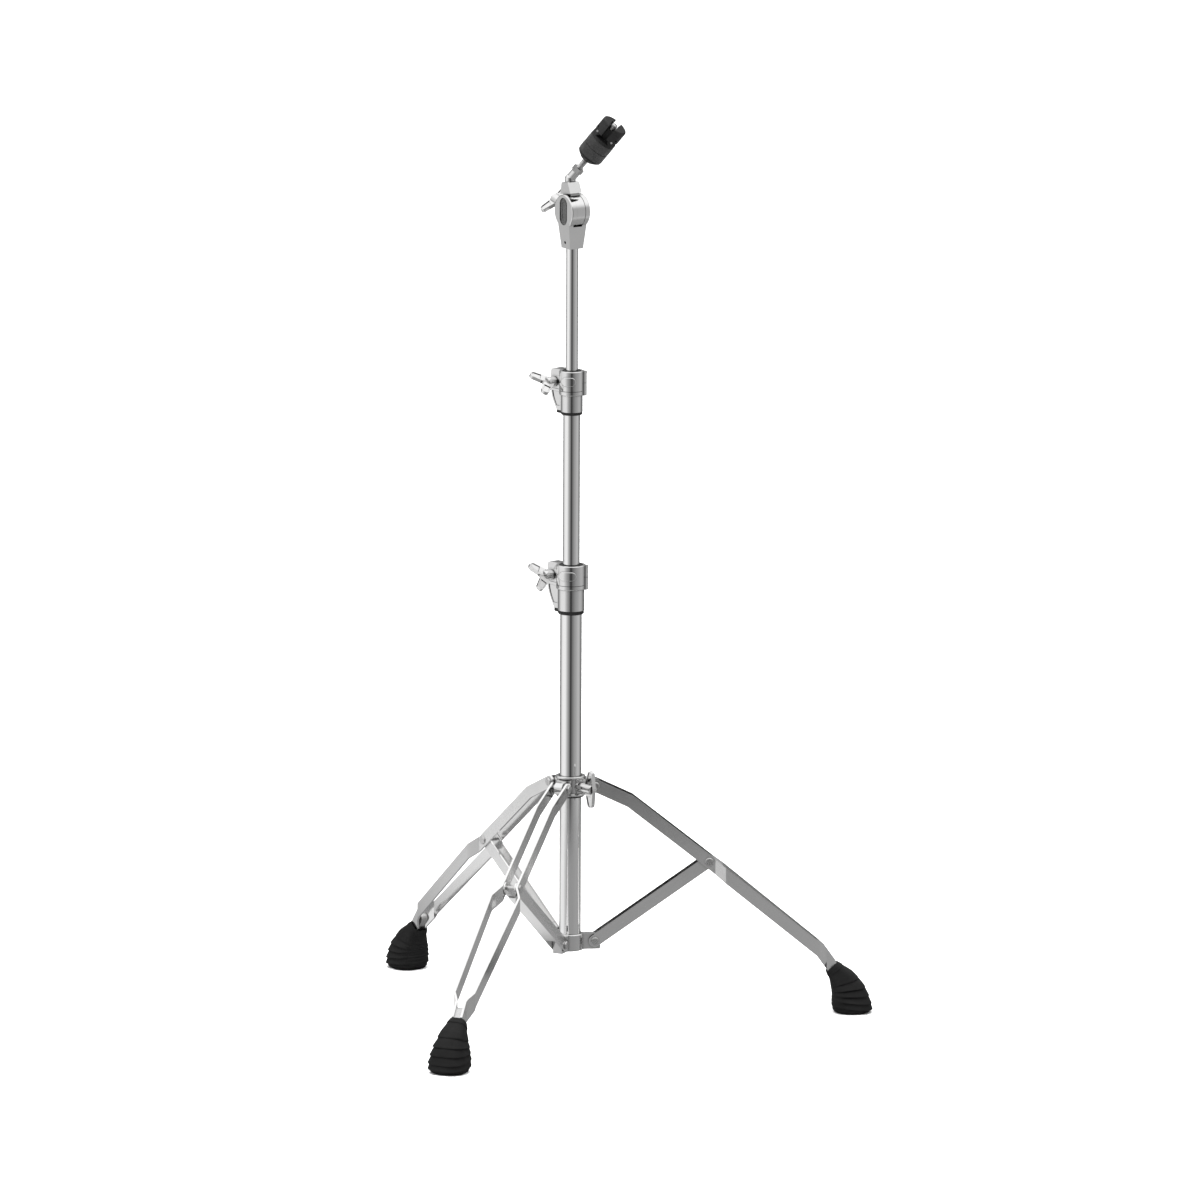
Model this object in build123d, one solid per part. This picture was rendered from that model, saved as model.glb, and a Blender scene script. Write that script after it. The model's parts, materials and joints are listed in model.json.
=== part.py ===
from build123d import *
from math import atan2, cos, degrees, hypot, pi, radians, sin, sqrt
import os

# A straight cymbal stand: a folding three-legged base with double-strip legs, three chromed
# tubes that slide in one another, two hinged tube clamps, a swivelling disc tilter and a
# cymbal seat held by a quick-release nut.
# Millimetres. +Z is up, the origin is on the floor under the tubes, and leg 1 lies along +X.

# ---- tubes ----
BASE_TUBE_R = 28.6 / 2
BASE_TUBE_BORE_R = 25.4 / 2
MIDDLE_TUBE_R = 22.2 / 2
MIDDLE_TUBE_BORE_R = 18.9 / 2
TOP_TUBE_R = 15.9 / 2
TOP_TUBE_BORE_R = 12.7 / 2
BASE_TUBE_BOTTOM = 92.0
MIDDLE_TUBE_BOTTOM = 330.0
TOP_TUBE_BOTTOM = 585.0
SLIDE_FIT = 0.06          # radial play of a tube in its nylon bushing

# ---- folding base ----
LEG_AZIMUTHS = (0.0, 120.0, 240.0)
PIVOT_R = 32.0            # distance of the collar pivots and bracket pivots from the tube axis
BRACKET_PIVOT_Z = 102.0
COLLAR_PIVOT_Z = 310.0
MIDDLE_PIVOT = (182.0, (BRACKET_PIVOT_Z + COLLAR_PIVOT_Z) / 2)
GAP = 0.3                 # side play between parts that turn against each other
PIN_R = 3.0
PIN_PLAY = 0.08
STRIP_WIDTH = 16.0
STRIP_THICK = 3.0
STRIP_OFFSET = 10.5       # from the leg's mid-plane to the middle of a strip
STRIP_SPREAD = 20.0       # the same, just below the brace pivot
STRIP_FOOT_OFFSET = 13.8
STRIP_NECK_OFFSET = 6.2
UPPER_BEND = (78.5, 288.0)
LOWER_BEND = (330.0, 84.0)
STRIP_END = (346.0, 61.5)
BRACE_DEPTH = 16.0
BRACE_WALL = 2.0
BRACE_HALF_WIDTH = STRIP_OFFSET - STRIP_THICK / 2 - GAP
BRACKET_LUG_HALF = BRACE_HALF_WIDTH - BRACE_WALL - GAP
COLLAR_LUG_HALF = BRACE_HALF_WIDTH

# ---- bracket and sliding collar ----
BRACKET_R = 18.0
BRACKET_BOTTOM, BRACKET_TOP = 90.0, 112.0
BRACKET_LUG_END = 39.5
COLLAR_R = 17.8
COLLAR_FLANGE_R = 20.0
COLLAR_HALF_HEIGHT = 13.0
COLLAR_FLANGE = 3.5
COLLAR_BUSH_R = 15.5
WING_BOLT_AZIMUTH = -56.0
WING_BOSS_END = 31.0
WING_STUD_R = 3.9

# ---- tube clamps: floor height of the rim, the slit and the top of the hinged gate ----
LOWER_CLAMP = dict(rim=538.0, rim_height=5.0, slit=576.5, top=603.0, outer_r=17.4, ring_r=19.4,
                   bush_r=15.4, tube_r=BASE_TUBE_R, inner_r=MIDDLE_TUBE_R, ear=40.0, fin_foot=26.0,
                   pad=24.0)
UPPER_CLAMP = dict(rim=802.0, rim_height=4.0, slit=833.5, top=860.0, outer_r=14.3, ring_r=16.4,
                   bush_r=12.2, tube_r=MIDDLE_TUBE_R, inner_r=TOP_TUBE_R, ear=34.0, fin_foot=22.0,
                   pad=19.5)
EAR_AZIMUTH = 124.0
EAR_HALF = 7.5
EAR_SPLIT = 0.8
HINGE_ANGLE = 215.0       # from the ears round to the gate's hinge pin
HINGE_PIN_INSET = 0.6     # of the gate's hinge pin, inside the ring's outer face
GATE_CAP_R = 4.6
PAD_ANGLE = 125.0         # from the ears round to the oval pad on the gate
PAD_HEIGHT = 12.0
PAD_RISE = 1.7
CLAMP_BOLT_R = 3.0
CLAMP_BOLT_RISE = 9.5     # height of the clamp bolt above the slit

# ---- tilter ----
TILTER_Z = 1070.5         # the disc's axis
TILTER_AZIMUTH = -152.3   # the way the badge faces
CHEEK_R = 22.0
CHEEK_HALF = 14.0
DISC_SLOT_HALF = 6.8
DISC_R = 21.5
DISC_HALF = DISC_SLOT_HALF - GAP
NECK_HALF = 10.2
FORK_FLOOR = -19.6
NECK_BOTTOM = -49.0
HINGE_PIN_R = 5.0
TILT_REST = 8.0           # the disc leans back by this much
SADDLE_HALF = 9.0
SADDLE_FOOT_HALF = 12.0
SADDLE_HEAD_HALF = 7.2
SADDLE_TOP = 38.0
WING_BOLT_ANGLE = 68.0    # from the saddle's axis to the tilter's wing bolt
WING_BOLT_BOSS_END = 30.5
TILTER_WING_TURN = -40.0
SWIVEL_PIN_R = 4.5
ELBOW_Z = 41.5            # where the rod's axis meets the saddle's axis
ELBOW_ANGLE = 46.6
SWIVEL_REST = 31.4        # the elbow is turned this far round from straight ahead

# ---- cymbal seat, along the rod from the elbow's centre ----
ROD_R = 4.0
ROD_END = 98.0
LOCK_NUT = (13.5, 20.0)
CUP_BOTTOM, CUP_TOP = 36.0, 43.5
FELT_R = 18.0
FELT_HEIGHT = 13.3
SLEEVE_R = 5.6
LOWER_FELT_TOP = CUP_TOP + FELT_HEIGHT
UPPER_FELT_TOP = LOWER_FELT_TOP + GAP + FELT_HEIGHT
NUT_BOTTOM = UPPER_FELT_TOP + GAP
NUT_R = 17.6
NUT_BASE = 3.2
NUT_PIVOT = (12.0, 8.6)   # sideways from the rod and up from the nut's bottom
NUT_HEIGHT = 27.0
NUT_TURN = 283.0          # round the rod, so that one row of pins faces the front

LOW = (Align.CENTER, Align.CENTER, Align.MIN)


def point(radius, azimuth, z=0.0):
    return Vector(radius * cos(radians(azimuth)), radius * sin(radians(azimuth)), z)


def bar(radius, start, end, origin=(0, 0, 0), direction=(0, 0, 1)):
    """A round bar along a line, between two distances from the line's origin."""
    plane = Plane(origin=origin, z_dir=direction)
    return plane * Pos(0, 0, start) * Cylinder(radius, end - start, align=LOW)


def tube(outer, inner, start, end, origin=(0, 0, 0), direction=(0, 0, 1)):
    return bar(outer, start, end, origin, direction) - bar(inner, start - 1, end + 1, origin, direction)


def block(x_range, y_range, z_range):
    low = [min(r) for r in (x_range, y_range, z_range)]
    size = [abs(r[1] - r[0]) for r in (x_range, y_range, z_range)]
    return Pos(*low) * Box(*size, align=(Align.MIN, Align.MIN, Align.MIN))


def side_plate(outline, half_width, offset=0.0):
    """An outline in the XZ plane made into a plate across Y."""
    plane = Plane(origin=(0, offset, 0), x_dir=(1, 0, 0), z_dir=(0, -1, 0))
    return extrude(plane * outline, half_width, both=True)


def flat_plate(outline, start, end):
    return extrude(Pos(0, 0, start) * outline, end - start, dir=(0, 0, 1))


def band(points, width):
    """A flat band with round ends and corners along a run of points."""
    face = None
    for a, b in zip(points, points[1:]):
        length = hypot(b[0] - a[0], b[1] - a[1])
        angle = degrees(atan2(b[1] - a[1], b[0] - a[0]))
        middle = ((a[0] + b[0]) / 2, (a[1] + b[1]) / 2)
        piece = Pos(*middle) * Rot(0, 0, angle) * SlotCenterToCenter(length, width)
        face = piece if face is None else face + piece
    return face


def turn(shape, azimuth):
    return Rot(0, 0, azimuth) * shape


def hexagon_bar(across_flats, start, end, origin=(0, 0, 0), direction=(0, 0, 1)):
    plane = Plane(origin=origin, z_dir=direction)
    face = RegularPolygon(across_flats / 2, 6, major_radius=False)
    return extrude(plane * Pos(0, 0, start) * face, end - start)


def tapered(start, end, start_width, end_width):
    """A flat tapered shape between two points, round at the end."""
    length = hypot(end[0] - start[0], end[1] - start[1])
    across = ((start[1] - end[1]) / length, (end[0] - start[0]) / length)
    corners = []
    for (x, y), reach in ((start, start_width / 2), (start, -start_width / 2),
                          (end, -end_width / 2), (end, end_width / 2)):
        corners.append((x + across[0] * reach, y + across[1] * reach))
    return Polygon(*corners, align=None) + Pos(*end) * Circle(end_width / 2)


def wing_head(hub_r, hub_height, span, root, tip, thick, middle, sweep):
    """A wing head on +Z: a round hub with two tapered wings along X, each rimmed on both faces.

    The wings leave the hub at the middle height and their tips stand higher by the sweep."""
    head = Cylinder(hub_r, hub_height, align=LOW)
    head = chamfer(head.edges().group_by(Axis.Z)[-1], 1.0)
    tip_centre = (span - tip / 2, middle + sweep)
    outline = tapered((0, middle), tip_centre, root, tip)
    rim = 1.6
    share = min(0.7, (hub_r + 2.0) / tip_centre[0])
    start = (tip_centre[0] * share, middle + sweep * share)
    pocket = tapered(start, tip_centre, root + (tip - root) * share - 2 * rim, tip - 2 * rim)
    wing = side_plate(outline, thick / 2)
    for side in (-1, 1):
        wing -= side_plate(pocket, 1.0, side * thick / 2)
    return head + wing + mirror(wing, Plane.YZ)


# ---------------------------------------------------------------- tubes and base fittings

def tubes():
    base_top = LOWER_CLAMP["slit"] - 1.5
    middle_top = UPPER_CLAMP["slit"] - 1.5
    top_end = TILTER_Z - 27.0
    return {
        "base_tube": tube(BASE_TUBE_R, BASE_TUBE_BORE_R, BASE_TUBE_BOTTOM, base_top),
        "middle_tube": tube(MIDDLE_TUBE_R, MIDDLE_TUBE_BORE_R, MIDDLE_TUBE_BOTTOM, middle_top),
        "top_tube": tube(TOP_TUBE_R, TOP_TUBE_BORE_R, TOP_TUBE_BOTTOM, top_end),
        "base_tube_plug": base_tube_plug(),
    }


def base_tube_plug():
    flange = Pos(0, 0, BASE_TUBE_BOTTOM - 3) * Cylinder(BASE_TUBE_R - 0.3, 3, align=LOW)
    shank = Pos(0, 0, BASE_TUBE_BOTTOM) * Cylinder(BASE_TUBE_BORE_R, 12, align=LOW)
    plug = chamfer(flange.edges().group_by(Axis.Z)[0], 0.8) + shank
    return plug - bar(BASE_TUBE_BORE_R - 2, BASE_TUBE_BOTTOM, BASE_TUBE_BOTTOM + 13)


def lower_leg_bracket():
    """A collar on the bottom of the base tube with a square lug for each brace."""
    bracket = bar(BRACKET_R, BRACKET_BOTTOM, BRACKET_TOP)
    bracket = fillet(bracket.edges().filter_by(GeomType.CIRCLE), 1.6)
    lug = block((BRACKET_R - 6, BRACKET_LUG_END), (-BRACKET_LUG_HALF, BRACKET_LUG_HALF),
                (BRACKET_BOTTOM + 1, BRACKET_TOP - 0.5))
    lug = fillet(lug.edges().filter_by(Axis.Y).group_by(Axis.X)[-1], 1.2)
    lug -= bar(PIN_R, -20, 20, (PIVOT_R, 0, BRACKET_PIVOT_Z), (0, 1, 0))
    for azimuth in LEG_AZIMUTHS:
        bracket += turn(lug, azimuth)
    return bracket - bar(BASE_TUBE_R, BASE_TUBE_BOTTOM - 5, BRACKET_TOP + 1)


def pivot_pin(z, reach):
    """A rivet across a leg's mid-plane at the pivot radius, with a domed head at each end."""
    origin = (PIVOT_R, 0, z)
    pin = bar(PIN_R, -reach, reach, origin, (0, 1, 0))
    for side in (-1, 1):
        head = bar(5.2, reach, reach + 2.2, origin, (0, side, 0))
        pin += fillet(head.edges().sort_by(Axis.Y)[0 if side < 0 else -1], 1.6)
    return pin


def pivot_pins(z, reach):
    return Compound([turn(pivot_pin(z, reach), azimuth) for azimuth in LEG_AZIMUTHS])


def leg_collar():
    """The collar that slides on the base tube: a flanged ring, three leg lugs and a screw boss."""
    bottom = COLLAR_PIVOT_Z - COLLAR_HALF_HEIGHT
    top = COLLAR_PIVOT_Z + COLLAR_HALF_HEIGHT
    collar = bar(COLLAR_R, bottom, top)
    for low in (bottom, top - COLLAR_FLANGE):
        flange = bar(COLLAR_FLANGE_R, low, low + COLLAR_FLANGE)
        collar += fillet(flange.edges().filter_by(GeomType.CIRCLE), 1.2)
    outline = Pos(PIVOT_R, COLLAR_PIVOT_Z) * Circle(8.0)
    outline += Polygon((COLLAR_R - 5, COLLAR_PIVOT_Z - 10), (PIVOT_R, COLLAR_PIVOT_Z - 8),
                       (PIVOT_R, COLLAR_PIVOT_Z + 8), (COLLAR_R - 5, COLLAR_PIVOT_Z + 10), align=None)
    lug = side_plate(outline, COLLAR_LUG_HALF)
    lug -= bar(PIN_R, -20, 20, (PIVOT_R, 0, COLLAR_PIVOT_Z), (0, 1, 0))
    for side in (-1, 1):
        lug -= block((PIVOT_R - 9.5, PIVOT_R + 9), (side * 5.5, side * 20),
                     (COLLAR_PIVOT_Z - 9, COLLAR_PIVOT_Z + 9)) - bar(
                         5.5, -20, 20, (PIVOT_R, 0, COLLAR_PIVOT_Z), (0, 1, 0))
    for azimuth in LEG_AZIMUTHS:
        collar += turn(lug, azimuth)
    direction = point(1, WING_BOLT_AZIMUTH)
    centre = (0, 0, COLLAR_PIVOT_Z)
    collar += bar(6.5, COLLAR_R - 3, WING_BOSS_END, centre, direction)
    collar -= bar(WING_STUD_R + PIN_PLAY, 10, 40, centre, direction)
    return collar - bar(COLLAR_BUSH_R, bottom - 1, top + 1)


def leg_collar_bushing():
    bottom = COLLAR_PIVOT_Z - COLLAR_HALF_HEIGHT
    top = COLLAR_PIVOT_Z + COLLAR_HALF_HEIGHT
    bush = bar(COLLAR_BUSH_R, bottom, top) + bar(COLLAR_R, bottom - 2, bottom)
    return bush - bar(BASE_TUBE_R + SLIDE_FIT, bottom - 5, top + 1)


def leg_collar_wing_bolt():
    """The screw that locks the collar, with its wings standing upright."""
    plane = Plane(origin=(0, 0, COLLAR_PIVOT_Z), x_dir=(0, 0, 1), z_dir=point(1, WING_BOLT_AZIMUTH))
    head = Pos(0, 0, WING_BOSS_END + 0.5) * wing_head(7.0, 15.0, 24.5, 17.5, 9.6, 5.6, 8.75, 2.0)
    return plane * (head + bar(WING_STUD_R, COLLAR_BUSH_R + 0.4, WING_BOSS_END + 2))


# ---------------------------------------------------------------- legs

def leg_strip(side):
    """One bent strip of a leg: bent in the leg's plane, splayed out below the brace pivot."""
    path = [(PIVOT_R, COLLAR_PIVOT_Z), UPPER_BEND, MIDDLE_PIVOT, LOWER_BEND, STRIP_END]
    outline = side_plate(band(path, STRIP_WIDTH), 40)
    run = [(10, STRIP_OFFSET), (190, STRIP_OFFSET), (203, STRIP_SPREAD), (328, STRIP_FOOT_OFFSET),
           (338, STRIP_NECK_OFFSET), (370, STRIP_NECK_OFFSET)]
    outer = [(x, side * (y + STRIP_THICK / 2)) for x, y in run]
    inner = [(x, side * (y - STRIP_THICK / 2)) for x, y in reversed(run)]
    plan = flat_plate(Polygon(*outer, *inner, align=None), 0, 400)
    strip = outline & plan
    tip_x = STRIP_END[0] + 5
    strip -= bar(PIN_R + PIN_PLAY, -40, 40, (PIVOT_R, 0, COLLAR_PIVOT_Z), (0, 1, 0))
    strip -= bar(PIN_R, -40, 40, (MIDDLE_PIVOT[0], 0, MIDDLE_PIVOT[1]), (0, 1, 0))
    strip -= bar(PIN_R, -40, 40, (STRIP_END[0], 0, STRIP_END[1]), (0, 1, 0))
    return strip & block((0, tip_x), (-60, 60), (0, 400))


def leg_rivets():
    """The brace pivot pin and the rivet that holds the tip plug between the strips."""
    pieces = []
    for (x, z), reach in ((MIDDLE_PIVOT, STRIP_OFFSET + STRIP_THICK / 2),
                          (STRIP_END, STRIP_NECK_OFFSET + STRIP_THICK / 2)):
        pin = bar(PIN_R, -reach, reach, (x, 0, z), (0, 1, 0))
        if reach > 10:
            for side in (-1, 1):
                head = bar(5.5, reach, reach + 2.0, (x, 0, z), (0, side, 0))
                pin += fillet(head.edges().sort_by(Axis.Y)[0 if side < 0 else -1], 1.5)
        pieces.append(pin)
    return pieces


def leg_tip_plug():
    """The block between the two strips where they run together, inside the rubber foot."""
    thick = STRIP_NECK_OFFSET - STRIP_THICK / 2
    plug = side_plate(band([(338.5, 72.0), (354.0, 50.0)], 12.0), thick)
    return plug - bar(PIN_R, -40, 40, (STRIP_END[0], 0, STRIP_END[1]), (0, 1, 0))


def rubber_foot():
    """A broad rubber foot: a bulging flat base that leans in and tapers to a neck on the leg."""
    # centre x, centre z, lean of the section, half length, half width
    sections = ((372.5, 0.0, 0.0, 22.5, 22.5), (372.5, 2.2, 0.0, 26.8, 26.0),
                (372.4, 12.0, 0.0, 27.8, 27.2), (371.5, 24.0, 2.0, 24.6, 25.4),
                (367.0, 35.0, 10.0, 23.6, 23.0), (358.5, 49.5, 28.0, 18.0, 17.2),
                (343.2, 63.6, 43.0, 9.4, 10.4))
    faces = []
    for x, z, lean, half_length, half_width in sections:
        plane = Plane(origin=(x, 0, z), x_dir=(cos(radians(lean)), 0, sin(radians(lean))),
                      z_dir=(-sin(radians(lean)), 0, cos(radians(lean))))
        corner = min(half_length, half_width) * 0.62
        faces.append(plane * RectangleRounded(2 * half_length, 2 * half_width, corner))
    lower = loft(faces[:2], ruled=True)
    foot = lower + loft(faces[1:], ruled=True)
    for piece in (leg_strip(1), leg_strip(-1), leg_tip_plug(), leg_rivets()[1]):
        foot -= piece
    return foot


def brace():
    """A U-channel from the bracket to the leg, open on top, its web cut away at both ends."""
    foot = Vector(PIVOT_R, 0, BRACKET_PIVOT_Z)
    end = Vector(MIDDLE_PIVOT[0], 0, MIDDLE_PIVOT[1])
    along = (end - foot).normalized()
    length = (end - foot).length
    # local X runs along the brace, local Y towards its open side, local Z across it
    plane = Plane(origin=foot, x_dir=along, z_dir=(0, -1, 0))
    half = BRACE_DEPTH / 2
    channel = extrude(Pos(length / 2, 0) * SlotCenterToCenter(length, BRACE_DEPTH), BRACE_HALF_WIDTH,
                      both=True)
    inside = BRACE_HALF_WIDTH - BRACE_WALL
    channel -= block((-half - 1, length + half + 1), (BRACE_WALL - half, half + 1), (-inside, inside))
    channel -= block((-half - 1, 30), (-half - 1, half + 1), (-inside, inside))
    channel -= block((length - 14, length + half + 1), (-half - 1, half + 1), (-inside, inside))
    for s in (0, length):
        channel -= bar(PIN_R + PIN_PLAY, -20, 20, (s, 0, 0))
    return plane * channel


def legs():
    parts = {}
    foot = rubber_foot()
    for number, azimuth in enumerate(LEG_AZIMUTHS, start=1):
        parts[f"brace_{number}"] = turn(brace(), azimuth)
        parts[f"leg_{number}_left_strip"] = turn(leg_strip(1), azimuth)
        parts[f"leg_{number}_right_strip"] = turn(leg_strip(-1), azimuth)
        parts[f"leg_{number}_rivets"] = turn(Compound(leg_rivets()), azimuth)
        parts[f"leg_{number}_tip_plug"] = turn(leg_tip_plug(), azimuth)
        parts[f"rubber_foot_{number}"] = turn(foot, azimuth)
    return parts


# ---------------------------------------------------------------- tube clamps

def clamp_hinge(c):
    """Centre of the gate's hinge pin, in the clamp's own frame with the ears along +X."""
    return point(c["ring_r"] - HINGE_PIN_INSET, HINGE_ANGLE)


def wedge(start, end, reach):
    """A flat sector between two angles, up to a reach from the axis."""
    steps = 12
    rim = [point(reach, start + (end - start) * i / steps) for i in range(steps + 1)]
    return Polygon((0, 0), *[(p.X, p.Y) for p in rim], align=None)


def ear_outline(c, low, high):
    """The rounded outline of an ear in the XZ plane."""
    inner = c["ring_r"] - 3
    ear = Polygon((inner, low), (c["ear"], low), (c["ear"], high), (inner, high), align=None)
    return fillet(ear.vertices().group_by(Axis.X)[-1], 5.5)


def fin_edge(c, share):
    """A point on the fin's outer edge, from the slit down to the socket's bottom."""
    bottom = c["rim"] + c["rim_height"]
    reach = c["fin_foot"] + (c["ear"] - c["fin_foot"]) * cos(share * pi / 2)
    return reach, c["slit"] + (bottom - c["slit"]) * share


def clamp_body(c):
    """The fixed casting: socket, shoulder, fin, the back half of the ring and its ear."""
    bottom, slit, top = c["rim"] + c["rim_height"], c["slit"], c["top"]
    hinge = clamp_hinge(c)
    split = slit + 11.0
    body = bar(c["outer_r"], bottom, slit)
    shoulder = bar(c["ring_r"], slit - 5.5, slit)
    body += fillet(shoulder.edges().filter_by(GeomType.CIRCLE).group_by(Axis.Z)[0], 1.5)
    steps = 10
    edge = [fin_edge(c, i / steps) for i in range(steps + 1)]
    body += side_plate(Polygon((0, slit), *edge, (0, bottom), align=None), EAR_HALF)
    inset = [(x - 2.8, z) for x, z in edge[1:-2]]
    panel_in = c["outer_r"] + 1.5
    panel = Polygon((panel_in, inset[0][1]), *inset, (panel_in, inset[-1][1]), align=None)
    for side in (-1, 1):
        body -= side_plate(panel, 1.0, side * EAR_HALF)
    back = flat_plate(wedge(HINGE_ANGLE + 4, 360, 60), slit, top) & bar(c["ring_r"], slit, top)
    body += fillet(back.edges().filter_by(GeomType.CIRCLE).group_by(Axis.Z)[-1].sort_by(
        SortBy.RADIUS)[-1], 1.2)
    ear = side_plate(ear_outline(c, slit, top), (EAR_HALF - EAR_SPLIT) / 2, -(EAR_HALF + EAR_SPLIT) / 2)
    body += ear
    body += bar(4.3, slit - 5.5, split, hinge)
    body -= bar(4.3 + GAP, split + GAP, top + 1, hinge)
    body -= bar(GATE_CAP_R + GAP, top - 3.0 - GAP, top + 1, hinge)
    body -= bar(1.6, slit - 7, top + 1, hinge)
    body -= block((-60, 60), (-EAR_SPLIT, 60), (slit, top + 1)) - bar(4.31, slit, split, hinge)
    body -= bar(CLAMP_BOLT_R, 0, 30, (ear_bolt_x(c), 0, slit + CLAMP_BOLT_RISE), (0, -1, 0))
    return body - bar(c["bush_r"], bottom - 1, top + 1)


def ear_bolt_x(c):
    return c["ring_r"] + (c["ear"] - c["ring_r"]) * 0.55


def clamp_pad(c, height):
    """The raised oval pad that follows the ring's curve, with a rounded rim."""
    facing = Plane(origin=(0, 0, height), x_dir=point(1, PAD_ANGLE - 90), z_dir=point(1, PAD_ANGLE))
    outer = c["ring_r"] + PAD_RISE
    pad = extrude(facing * SlotOverall(c["pad"], PAD_HEIGHT), outer + 2)
    pad = pad & bar(outer, height - PAD_HEIGHT, height + PAD_HEIGHT)
    rim = [edge for edge in pad.edges()
           if all(abs(hypot((edge @ t).X, (edge @ t).Y) - outer) < 0.01 for t in (0.1, 0.5, 0.9))]
    return fillet(rim, 1.0)


def clamp_gate(c):
    """The hinged front half of the ring with a raised oval pad and its own ear."""
    low, top = c["slit"] + 0.6, c["top"]
    hinge = clamp_hinge(c)
    split = c["slit"] + 11.0
    ring = bar(c["ring_r"], low, top)
    ring = fillet(ring.edges().filter_by(GeomType.CIRCLE).group_by(Axis.Z)[-1], 1.2)
    gate = ring & flat_plate(wedge(0, HINGE_ANGLE - 4, 60), low, top)
    ear = side_plate(ear_outline(c, low, top), (EAR_HALF - EAR_SPLIT) / 2, (EAR_HALF + EAR_SPLIT) / 2)
    gate += ear
    gate -= block((0, 60), (-60, EAR_SPLIT), (low - 1, top + 1))
    gate += bar(4.3, split + 2 * GAP, top, hinge) + bar(GATE_CAP_R, top - 3.0, top, hinge)
    gate -= bar(4.3 + GAP, low - 1, split + GAP, hinge)
    gate -= bar(1.6 + PIN_PLAY, low - 1, top + 1, hinge)
    gate += clamp_pad(c, (low + top) / 2) - bar(c["ring_r"] - 1, low, top)
    bolt_x = ear_bolt_x(c)
    slot_z = c["slit"] + CLAMP_BOLT_RISE
    play = CLAMP_BOLT_R + PIN_PLAY
    gate -= block((bolt_x, 60), (-1, 30), (slot_z - play, slot_z + play))
    gate -= bar(play, -1, 30, (bolt_x, 0, slot_z), (0, 1, 0))
    return gate - bar(c["bush_r"] + GAP, low - 1, top + 1)


def clamp_bushing(c):
    """The nylon sleeve: tight on the outer tube below, a guide for the inner tube above."""
    slit, top = c["slit"], c["top"]
    tube_end = slit - 1.5
    footprint = Circle(c["outer_r"] - 0.4) + Pos(c["fin_foot"] / 2, 0) * Rectangle(
        c["fin_foot"], 2 * EAR_HALF - 1)
    rim = flat_plate(footprint, c["rim"], c["rim"] + c["rim_height"])
    rim = chamfer(rim.edges().group_by(Axis.Z)[0], 0.8)
    bush = rim + bar(c["bush_r"], c["rim"], top - 0.8)
    bush -= bar(c["tube_r"], c["rim"] - 1, tube_end)
    return bush - bar(c["inner_r"] + SLIDE_FIT, tube_end - 1, top + 1)


def clamp_hinge_pin(c):
    """The steel pin of the gate, tight in the casting."""
    return bar(1.6, c["slit"] - 5, c["top"] + 0.4, clamp_hinge(c))


def clamp_bolt(c):
    """The bolt through both ears, its square head behind the fixed ear."""
    z = c["slit"] + CLAMP_BOLT_RISE
    origin = (ear_bolt_x(c), 0, z)
    bolt = bar(CLAMP_BOLT_R, -EAR_HALF, 27.0, origin, (0, 1, 0))
    head = block((origin[0] - 4.8, origin[0] + 4.8), (-EAR_HALF - 3.8, -EAR_HALF), (z - 4.8, z + 4.8))
    return bolt + fillet(head.edges().filter_by(Axis.Y), 1.0)


def clamp_wing_nut(c, wing_turn):
    """The clamp's wing nut, turned so that its wings lie at rest at the given angle."""
    plane = Plane(origin=(ear_bolt_x(c), 0, c["slit"] + CLAMP_BOLT_RISE), x_dir=(0, 0, 1), z_dir=(0, 1, 0))
    nut = wing_head(6.6, 13.0, 20.0, 14.0, 11.0, 5.2, 8.0, 17.0) - bar(CLAMP_BOLT_R + PIN_PLAY, -1, 30)
    return plane * Pos(0, 0, EAR_HALF + 0.6) * turn(nut, wing_turn)


def clamp(name, c, wing_turn):
    parts = {
        "body": clamp_body(c),
        "gate": clamp_gate(c),
        "bushing": clamp_bushing(c),
        "hinge_pin": clamp_hinge_pin(c),
        "bolt": clamp_bolt(c),
        "wing_nut": clamp_wing_nut(c, wing_turn),
    }
    return {f"{name}_{piece}": turn(shape, EAR_AZIMUTH) for piece, shape in parts.items()}


# ---------------------------------------------------------------- tilter
# The tilter's own frame: origin on the disc's axis, +X the way the badge faces, +Y to the front.

TILTER_FRAME = Plane(origin=(0, 0, TILTER_Z), x_dir=point(1, TILTER_AZIMUTH), z_dir=(0, 0, 1))


def tilted(shape):
    """From the disc's own frame, with the saddle on +Z, to the tilter's frame."""
    return Rot(TILT_REST, 0, 0) * shape


def tilter_body():
    """The fork on the top tube: a tapered square neck under two round cheeks."""
    cheeks = bar(CHEEK_R, -CHEEK_HALF, CHEEK_HALF, direction=(1, 0, 0))
    cheeks = fillet(cheeks.edges().filter_by(GeomType.CIRCLE), 1.6)
    profile = Polygon((-13.0, -14), (-13.0, -17.7), (-NECK_HALF, NECK_BOTTOM),
                      (NECK_HALF, NECK_BOTTOM), (13.0, -17.7), (13.0, -14), align=None)
    body = cheeks + extrude(Plane.YZ * profile, CHEEK_HALF, both=True)
    taper = Polygon((-NECK_HALF, NECK_BOTTOM), (NECK_HALF, NECK_BOTTOM), (CHEEK_HALF, -14),
                    (CHEEK_HALF, 30), (-CHEEK_HALF, 30), (-CHEEK_HALF, -14), align=None)
    body = body & side_plate(taper, 40)
    body -= bar(DISC_R + 0.7, -DISC_SLOT_HALF, DISC_SLOT_HALF, direction=(1, 0, 0))
    body -= block((-DISC_SLOT_HALF, DISC_SLOT_HALF), (-40, 40), (FORK_FLOOR, 40))
    body -= bar(HINGE_PIN_R, -20, 20, direction=(1, 0, 0))
    recess = Plane.YZ * SlotOverall(36, 17.5, rotation=90)
    body -= Pos(CHEEK_HALF - 2.4, 0, 0) * extrude(recess, 5)
    body -= bar(TOP_TUBE_R, NECK_BOTTOM - 1, -27)
    return body - bar(2.0, 5, 20, (0, 0, NECK_BOTTOM + 8), (1, 0, 0))


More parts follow.
